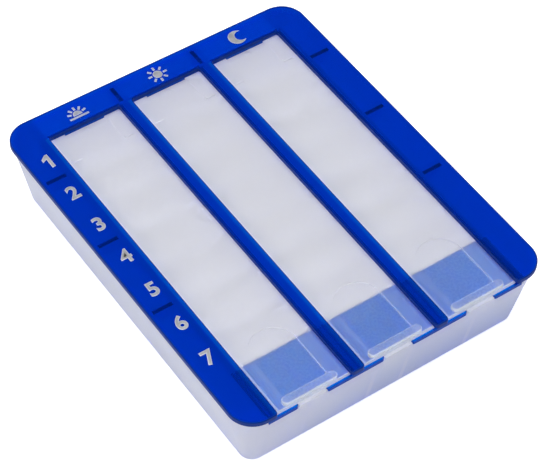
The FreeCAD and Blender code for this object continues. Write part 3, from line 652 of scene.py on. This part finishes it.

# %% [markdown]
# ## Milky plastic: the skirt of the tray
#
# The tray is natural polypropylene. Its skirt is painted bluer than the cells, with blue light
# from the cover. Its front wall gets painted blue shade towards its foot and painted light towards
# the left corner, and is pale where an upright stay backs it. The stays stand behind the wall, so
# they are seen a little aside. These differences are soft, so they are blends of a few whites.

# %% Skirt of the tray
STAY_PLACES = (-25.7 * MM, -5.2 * MM, 5.2 * MM, 25.7 * MM)
STAY_SEEN_SHIFT = -0.9 * MM
STAY_FALL = (0.4 * MM, 0.9 * MM)
STAY_SHARE = 0.7
FOOT_TO_TOP = (3.0 * MM, 18.0 * MM)
CORNER_TO_MIDDLE = (-40.0 * MM, 0.0)
# painted light: how much whiter the front grows towards the left corner
CORNER_LIGHT_SHARE = 0.7
# the skirt's whites carry painted blue light from the cover
SKIRT_BLUE_LIGHT_WHITE = (0.91, 0.94, 1.0, 1.0)
FRONT_TOP = (0.92, 0.95, 1.0, 1.0)
FRONT_FOOT_SHADE = (0.75, 0.81, 0.95, 1.0)
STAY_WHITE = (0.93, 0.95, 1.0, 1.0)


def front_colour(tree, x, z):
    """Painted shade from foot to top, painted light to the left corner, and pale over the stays.
    """
    places = [middle + STAY_SEEN_SHIFT for middle in STAY_PLACES]
    away = [magnitude(tree, calculate(tree, "SUBTRACT", x, place)) for place in places]
    stays = highest(tree, *[fade_out(tree, distance, *STAY_FALL) for distance in away])
    corner = fade(tree, x, *CORNER_TO_MIDDLE, CORNER_LIGHT_SHARE, 0.0)
    front = blend_colours(tree, fade(tree, z, *FOOT_TO_TOP), FRONT_FOOT_SHADE, FRONT_TOP)
    front = blend_colours(tree, corner, front, WHITE)
    return blend_colours(tree, product(tree, stays, STAY_SHARE), front, STAY_WHITE)


# %% [markdown]
# ## Milky plastic of the tray
#
# Light enters this plastic, scatters and comes out a little further on. Subsurface scattering
# gives that soft glow, and part of the light is let straight through, so that what touches a wall
# from behind shows dimly. The tops of the partitions catch all the light from above, so they get
# a greyer white, or they would stand out as bright bars when the cover is off.

# %% Milky tray plastic
BAY_REAR = -40.5 * MM
TOPS_RISE = (18.2 * MM, 18.5 * MM)
CELL_WHITE = (0.95, 0.95, 0.97, 1.0)
TOP_WHITE = (0.50, 0.52, 0.62, 1.0)
MILKY_IOR = 1.49
EVEN_RADIUS = (1.0, 1.0, 1.0)
TRAY_SCATTER = 2.0 * MM
SKIRT_CLEARNESS = (0.40, 0.50)
CELL_LESS_CLEAR = 0.2
TRAY_ROUGHNESS = (0.42, 0.55)
TRAY_WAVES = 0.12 * MM
TRAY_GRAIN = 0.006 * MM
LAMP_TINT_TRAY = (0.7, 0.72, 0.76, 1.0)


def make_tray_plastic():
    material = bpy.data.materials.new("milky_tray_plastic")
    tree = new_tree(material)
    plastic = add_node(tree, "ShaderNodeBsdfPrincipled", IOR=MILKY_IOR, Subsurface_Weight=1.0,
                       Subsurface_Radius=EVEN_RADIUS, Subsurface_Scale=TRAY_SCATTER)
    x, y, z = place_on(tree)
    beside = fade(tree, size_beyond(tree, x, BLOCK_HALF), 0.0, SOFT_STEP)
    before = fade_out(tree, y, BAY_REAR - SOFT_STEP, BAY_REAR)
    behind = fade(tree, y, BLOCK_REAR, BLOCK_REAR + SOFT_STEP)
    in_skirt = highest(tree, beside, before, behind)
    skirt = blend_colours(tree, before, SKIRT_BLUE_LIGHT_WHITE, front_colour(tree, x, z))
    tops = product(tree, level_share(tree), fade(tree, z, *TOPS_RISE))
    cells = blend_colours(tree, tops, CELL_WHITE, TOP_WHITE)
    tree.links.new(blend_colours(tree, in_skirt, cells, skirt), plastic.inputs["Base Color"])

    cloud = noise(tree, scale=45.0, detail=3.0)
    clear = calculate(tree, "SUBTRACT", fade(tree, cloud, *WIDE_NOISE_SPAN, *SKIRT_CLEARNESS),
                      graded(tree, in_skirt, CELL_LESS_CLEAR, 0.0))
    tree.links.new(clear, plastic.inputs["Transmission Weight"])
    grain = noise(tree, scale=3500.0, detail=2.0)
    rough = fade(tree, grain, *NOISE_SPAN, *TRAY_ROUGHNESS)
    tree.links.new(rough, plastic.inputs["Roughness"])
    add_bumps(tree, plastic, [(cloud, TRAY_WAVES), (grain, TRAY_GRAIN)])
    finish_plastic(tree, plastic, LAMP_TINT_TRAY)
    return material


tray_plastic = make_tray_plastic()
print("tray plastic nodes:", len(tray_plastic.node_tree.nodes))

# %% [markdown]
# ## Frosted plastic: the painted highlights of a lid
#
# Light piles up at the edges of a lid, so they get painted highlights: its long sides, its front,
# the outline of the grip and the right side of the sunk panel. Each line is a step in a distance
# again. The panel is a bar with a round end towards the rear, and so is the grip, crosswise.

# %% Lines of a lid
lid_low, lid_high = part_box("sliding_lid_middle")
GRIP_RISE = 1.1 * MM
LID_THICKNESS = 1.1 * MM
LID_TOP = lid_high.z - GRIP_RISE
LID_UNDERSIDE = LID_TOP - LID_THICKNESS
FRONT_LINE = lid_low.y + 0.1 * MM
FRONT_LINE_HALF = 0.15 * MM
LONG_LINE = WINDOW_HALF - 1.0 * MM
LONG_LINE_HALF = 0.13 * MM
PANEL_HALF = 6.45 * MM
PANEL_LINE_HALF = 0.09 * MM
GRIP_REACH = 6.8 * MM
GRIP_HALF = 1.2 * MM
GRIP_MIDDLE = FRONT_LINE + GRIP_HALF
GRIP_LINE_HALF = 0.22 * MM

# how strong a line is along it: start and end of a soft step, and the shares there
SIDE_LINE_ACROSS = (-1.0 * MM, 1.0 * MM, 1.0, 0.2)
PANEL_LINE_ACROSS = (0.0, 5.0 * MM, 0.1, 0.55)
PANEL_LINE_ALONG = (0.0, 3.0 * MM, 1.0, 0.35)


def panel_side_line(tree, across, along, outside):
    """A painted highlight line round the panel, strong on its right side and weak behind."""
    return product(tree, line_at(tree, outside, PANEL_LINE_HALF),
                   fade(tree, across, *PANEL_LINE_ACROSS),
                   fade(tree, along, *PANEL_LINE_ALONG))


def lid_lines(tree, across, y, raised):
    """Painted highlights: long sides, the left one stronger, the front and the grip's outline."""
    long_sides = line_at(tree, size_beyond(tree, across, LONG_LINE), LONG_LINE_HALF)
    long_sides = product(tree, long_sides, fade(tree, across, *SIDE_LINE_ACROSS))
    front = line_at(tree, calculate(tree, "SUBTRACT", y, FRONT_LINE), FRONT_LINE_HALF)
    from_grip = calculate(tree, "SUBTRACT", y, GRIP_MIDDLE)
    beyond_grip = size_beyond(tree, across, GRIP_REACH)
    outside_grip = distance_outside(tree, from_grip, beyond_grip, GRIP_HALF)
    grip = product(tree, line_at(tree, outside_grip, GRIP_LINE_HALF), raised)
    return highest(tree, long_sides, front, grip)


# %% [markdown]
# ## Frosted plastic: how clear a lid is
#
# The lids are the same milky plastic as the tray, thinner and with a frosted underside. A frosted
# sheet shows what touches it and blurs what lies deeper, so the blue shelf shows through it
# sharply and the cells hardly at all. The sunk panel is thinner, hence clearer, and its coarse
# grain shows as mottles. To the left of the panel runs a slightly paler strip.

# %% Clearness of a lid
CLEAR_END = -40.5 * MM
CLEAR_END_STEP = 1.5 * MM
PALE_STRIP_RISE = (-PANEL_HALF - 1.5 * MM, -PANEL_HALF - 0.5 * MM)
PALE_STRIP_FALL = (-PANEL_HALF, 0.0)
PANEL_CLEARNESS = (0.96, 1.0)
BESIDE_CLEARNESS = (0.975, 0.955)
STRIP_LESS_CLEAR = 0.02
REAR_CLEARNESS = 0.78
MOTTLE_LEVEL = (0.42, 0.58)


def lid_clearness(tree, across, y, panel, mottle):
    """Mottled in the panel, plain beside it, and lower behind the shelf."""
    in_panel = fade(tree, mottle, *MOTTLE_LEVEL, *PANEL_CLEARNESS)
    strip = between(tree, across, PALE_STRIP_RISE, PALE_STRIP_FALL)
    beside = calculate(tree, "SUBTRACT",
                       fade(tree, across, 0.0, PANEL_HALF, *BESIDE_CLEARNESS),
                       product(tree, strip, STRIP_LESS_CLEAR))
    clear = calculate(tree, "ADD", product(tree, in_panel, panel),
                      product(tree, beside, opposite(tree, panel)))
    return product(tree, clear, fade(tree, y, CLEAR_END, CLEAR_END + CLEAR_END_STEP, 1.0,
                                     REAR_CLEARNESS))


# %% [markdown]
# ## Frosted lid plastic
#
# One material serves the three lids: the X coordinate is counted from the middle of the nearest
# column, so each lid sees its own middle as zero. The top is smooth, and the underside is rough
# from the frosted steel of its mould.

# %% Frosted lid plastic
PANEL_ROUND_START = -39.9 * MM
RAISED_RISE = (LID_TOP - SHARP_STEP, LID_TOP + 0.1 * MM)
GRAIN_FALL = (CLEAR_END - 0.5 * MM, CLEAR_END + 0.5 * MM)
HIGHLIGHT_WHITE = (0.86, 0.90, 1.0, 1.0)
LID_WHITE = (0.93, 0.933, 0.955, 1.0)
PANEL_DARK = (0.80, 0.82, 0.88, 1.0)
LID_SCATTER = 1.0 * MM
HIGHLIGHT_SHARE = 0.7
HIGHLIGHT_CLEARNESS = 0.5
GRIP_CLEARNESS = 0.88
FROSTED_TO_SMOOTH = (0.8, 0.28)
LID_WAVES = 0.01 * MM
LID_GRAIN = 0.004 * MM
LAMP_TINT_LID = (0.97, 0.97, 0.98, 1.0)


def make_lid_plastic():
    material = bpy.data.materials.new("frosted_lid_plastic")
    tree = new_tree(material)
    plastic = add_node(tree, "ShaderNodeBsdfPrincipled", IOR=MILKY_IOR, Subsurface_Weight=1.0,
                       Subsurface_Radius=EVEN_RADIUS, Subsurface_Scale=LID_SCATTER)
    x, y, z = place_on(tree)
    across = across_column(tree, x)
    along = calculate(tree, "SUBTRACT", y, PANEL_ROUND_START)
    outside = distance_outside(tree, across, along, PANEL_HALF)
    panel = fade_out(tree, outside, -SHARP_STEP, SHARP_STEP)
    raised = fade(tree, z, *RAISED_RISE)
    mottle = noise(tree, scale=1400.0, detail=3.0)
    # painted highlight lines, paler and less clear than the rest of the lid
    lines = highest(tree, panel_side_line(tree, across, along, outside),
                    lid_lines(tree, across, y, raised))
    clear = product(tree, lid_clearness(tree, across, y, panel, mottle),
                    graded(tree, raised, 1.0, GRIP_CLEARNESS),
                    graded(tree, lines, 1.0, HIGHLIGHT_CLEARNESS))
    tree.links.new(clear, plastic.inputs["Transmission Weight"])

    # the panel's grain shows only over the shelf
    grain = blend_colours(tree, fade(tree, mottle, *MOTTLE_LEVEL), PANEL_DARK, WHITE)
    over_shelf = fade_out(tree, y, *GRAIN_FALL)
    colour = blend_colours(tree, product(tree, panel, over_shelf), LID_WHITE, grain)
    colour = blend_colours(tree, product(tree, lines, HIGHLIGHT_SHARE), colour, HIGHLIGHT_WHITE)
    tree.links.new(colour, plastic.inputs["Base Color"])

    rough = fade(tree, z, LID_UNDERSIDE + SOFT_STEP, LID_TOP - SOFT_STEP, *FROSTED_TO_SMOOTH)
    tree.links.new(rough, plastic.inputs["Roughness"])
    flow = noise(tree, scale=70.0, detail=2.0, stretch=(1.0, 0.4, 1.0))
    add_bumps(tree, plastic, [(flow, LID_WAVES), (mottle, LID_GRAIN)])
    finish_plastic(tree, plastic, LAMP_TINT_LID)
    return material


lid_plastic = make_lid_plastic()
print("lid plastic nodes:", len(lid_plastic.node_tree.nodes))

# %% [markdown]
# ## Dressing the mouldings
#
# Each moulding keeps its mesh; only the material in its slot is new.

# %% Dress the mouldings
def dress(node_name, material):
    data = frame["nodes"][node_name].data
    data.materials.clear()
    data.materials.append(material)


dress("tray", tray_plastic)
dress("cover", blue_plastic)
for column in ("left", "middle", "right"):
    dress("sliding_lid_" + column, lid_plastic)
print("materials:", sorted(material.name for material in bpy.data.materials))

# %% [markdown]
# ## Silver foil print
#
# Digits and signs are stamped on the plate's rims with silver foil. A hot stamp presses a film a
# few hundredths of a millimetre thick into the plastic, so a sign has a flat middle and a slope
# round its outline, which catches the light and gets a painted highlight too. Type and flat
# outlines are easy to make as curves: Blender fills them and rounds their edges with a bevel. The
# result is made a mesh, squeezed to the film's thickness and laid on the plate.

# %% Foil press
FOIL_BEVEL = 0.20 * MM
FOIL_BEVEL_STEPS = 2
FOIL_RISE = 0.04 * MM
FOIL_SUNK = 0.01 * MM
FOIL_TOP = PLATE_TOP - FOIL_SUNK + FOIL_RISE
FOIL_DARK = (0.54, 0.55, 0.58, 1.0)
FOIL_LIGHT = (0.70, 0.70, 0.72, 1.0)
FOIL_SLOPE_HIGHLIGHT = (0.90, 0.92, 0.97, 1.0)
SLOPE_FALL = (FOIL_TOP - 0.15 * FOIL_RISE, FOIL_TOP - 0.01 * FOIL_RISE)
WORN_LEVEL = (0.35, 0.65)
WORN_DEPTH = 0.01 * MM
BRUSHED_DEPTH = 0.003 * MM
FOIL_ROUGHNESS = (0.34, 0.5)


def make_silver_foil():
    material = bpy.data.materials.new("silver_foil")
    tree = new_tree(material)
    foil = add_node(tree, "ShaderNodeBsdfPrincipled", Metallic=0.55)
    worn = noise(tree, scale=500.0, detail=4.0)
    middle = blend_colours(tree, fade(tree, worn, *WORN_LEVEL), FOIL_DARK, FOIL_LIGHT)
    # the slope round each sign is painted paler, a painted highlight
    slope = fade_out(tree, place_on(tree)["Z"], *SLOPE_FALL)
    colour = blend_colours(tree, slope, middle, FOIL_SLOPE_HIGHLIGHT)
    tree.links.new(colour, foil.inputs["Base Color"])
    brushed = noise(tree, scale=1500.0, detail=2.0, stretch=(1.0, 8.0, 1.0), turn=0.3)
    rough = fade(tree, brushed, *NOISE_SPAN, *FOIL_ROUGHNESS)
    tree.links.new(rough, foil.inputs["Roughness"])
    add_bumps(tree, foil, [(worn, WORN_DEPTH), (brushed, BRUSHED_DEPTH)])
    add_node(tree, "ShaderNodeOutputMaterial", {"Surface": foil.outputs[0]})
    return material


def stamp(name, outline, centre):
    """Stamp one curve's filled outline on the plate: its mesh is centred in plan on the given
    place, its height is scaled to the film's thickness, and its lower half sinks in."""
    source = bpy.data.objects.new(name + "_outline", outline)
    bpy.context.scene.collection.objects.link(source)
    bpy.context.view_layer.update()
    evaluated = source.evaluated_get(bpy.context.evaluated_depsgraph_get())
    mesh = bpy.data.meshes.new_from_object(evaluated)
    bpy.data.objects.remove(source)
    places = np.empty(len(mesh.vertices) * 3)
    mesh.vertices.foreach_get("co", places)
    places = places.reshape(-1, 3)
    low, high = places.min(axis=0), places.max(axis=0)
    places -= (low + high) / 2
    places *= (1.0, 1.0, 2 * FOIL_RISE / (high[2] - low[2]))
    places += (centre[0], centre[1], PLATE_TOP - FOIL_SUNK)
    mesh.vertices.foreach_set("co", places.ravel())
    mesh.materials.clear()
    mesh.materials.append(silver_foil)
    piece = bpy.data.objects.new(name, mesh)
    bpy.context.scene.collection.objects.link(piece)
    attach(piece, "cover")


silver_foil = make_silver_foil()
print("foil nodes:", len(silver_foil.node_tree.nodes))

# %% [markdown]
# ## The digits of the days
#
# The left rim numbers the seven days, one digit beside each row of cells. Blender's own typeface
# has all figures but one in the right manner: its figure one is a bare bar. So that one is drawn
# as seven given points, a bar with a flag, and the rest are typed.

# %% Day digits
DIGIT_HEIGHT = 4.85 * MM
DIGIT_CAP_SHARE = 0.73
DIGIT_BOLD = 0.01 * MM
DIGIT_ACROSS = -41.15 * MM
DIGIT_MIDDLE_SHIFT = 0.8 * MM
FIGURE_ONE = ((0.30, 0.0), (0.44, 0.0), (0.44, 1.0), (0.33, 1.0), (0.02, 0.76), (0.02, 0.62),
              (0.30, 0.75))


def flat_curve(name, outlines):
    """A filled flat curve with rounded edges, from closed outlines of points."""
    curve = bpy.data.curves.new(name, "CURVE")
    curve.dimensions = "2D"
    curve.fill_mode = "BOTH"
    curve.bevel_depth = FOIL_BEVEL
    curve.bevel_resolution = FOIL_BEVEL_STEPS
    for outline in outlines:
        spline = curve.splines.new("POLY")
        spline.points.add(len(outline) - 1)
        spline.points.foreach_set("co", np.pad(outline, ((0, 0), (0, 2))).ravel())
        spline.use_cyclic_u = True
    return curve


def typed_figure(day, height):
    """A figure in Blender's own typeface, whose cap height is a fixed share of its size."""
    figure = bpy.data.curves.new(f"digit_{day}", "FONT")
    figure.body = str(day)
    figure.size = height / DIGIT_CAP_SHARE
    figure.bevel_depth = FOIL_BEVEL
    figure.bevel_resolution = FOIL_BEVEL_STEPS
    figure.offset = DIGIT_BOLD
    return figure


inner_height = DIGIT_HEIGHT - 2 * FOIL_BEVEL
for day in range(1, 8):
    if day == 1:
        figure = flat_curve("digit_1", [np.array(FIGURE_ONE) * inner_height])
    else:
        figure = typed_figure(day, inner_height)
    row_middle = WINDOW_REAR - (day - 0.5) * ROW_SPACING - DIGIT_MIDDLE_SHIFT
    stamp(f"foil_digit_{day}", figure, (DIGIT_ACROSS, row_middle))

# %% [markdown]
# ## Signs for morning, noon and evening
#
# The rear rim of such a box carries a line of foil print. Here it holds three plain signs, one
# over each column: a rising sun, a full sun and a moon. Each is a few closed outlines given by
# formulas: a disc is a circle, a ray a thin bar, and the moon the part of one circle that
# another doesn't cover.

# %% Time of day signs
SIGN_ALONG = 52.9 * MM
SUN_RADIUS = 1.15 * MM
RAY_START = 1.9 * MM
RAY_END = 2.7 * MM
RAY_HALF = 0.12 * MM
GROUND_TOP = -0.75 * MM
GROUND_FOOT = -1.0 * MM
MOON_RADIUS = 2.35 * MM
MOON_BITE = 1.95 * MM
MOON_BITE_SHIFT = 1.25 * MM
ARC_POINTS = 40


def arc(centre, radius, start, end):
    """Points of a circle from one angle to another: centre + radius (cos angle, sin angle)."""
    angle = np.linspace(start, end, ARC_POINTS)
    return np.column_stack((np.cos(angle), np.sin(angle))) * radius + centre


def ray(angle):
    """A thin bar that points away from the origin at that angle."""
    bar = np.array([(RAY_START, -RAY_HALF), (RAY_END, -RAY_HALF), (RAY_END, RAY_HALF),
                    (RAY_START, RAY_HALF)])
    turn = np.array([(math.cos(angle), math.sin(angle)), (-math.sin(angle), math.cos(angle))])
    return bar @ turn


def full_sun():
    """A disc with eight rays."""
    disc = arc((0, 0), SUN_RADIUS, 0, 2 * math.pi * (ARC_POINTS - 1) / ARC_POINTS)
    return [disc] + [ray(angle) for angle in np.arange(8) * math.pi / 4]


def rising_sun():
    """Half a disc over a line, with five rays that fan out evenly."""
    half_disc = arc((0, 0), SUN_RADIUS, 0, math.pi)
    ground = np.array([(-RAY_END, GROUND_FOOT), (RAY_END, GROUND_FOOT), (RAY_END, GROUND_TOP),
                       (-RAY_END, GROUND_TOP)])
    return [half_disc, ground] + [ray(angle) for angle in (np.arange(5) + 0.5) * math.pi / 5]


def crescent():
    """The part of a circle that a smaller one, shifted to the right, doesn't cover: the two
    circles cross where x = (R^2 - r^2 + d^2) / 2d."""
    crossing = (MOON_RADIUS ** 2 - MOON_BITE ** 2 + MOON_BITE_SHIFT ** 2) / (2 * MOON_BITE_SHIFT)
    outer_tip = math.acos(crossing / MOON_RADIUS)
    inner_tip = math.acos((crossing - MOON_BITE_SHIFT) / MOON_BITE)
    outside = arc((0, 0), MOON_RADIUS, outer_tip, 2 * math.pi - outer_tip)
    inside = arc((MOON_BITE_SHIFT, 0), MOON_BITE, 2 * math.pi - inner_tip, inner_tip)
    return [np.vstack((outside, inside[1:-1]))]


signs = (("rising_sun", rising_sun()), ("full_sun", full_sun()), ("moon", crescent()))
for column, (name, outlines) in enumerate(signs):
    place = ((column - 1) * COLUMN_SPACING, SIGN_ALONG)
    stamp("foil_" + name, flat_curve(name, outlines), place)
foil_names = [piece.name for piece in bpy.data.objects if piece.name.startswith("foil_")]
print("foil pieces:", len(foil_names))

# %% Finish
bpy.context.scene.view_settings.view_transform = "Standard"
bpy.context.view_layer.update()
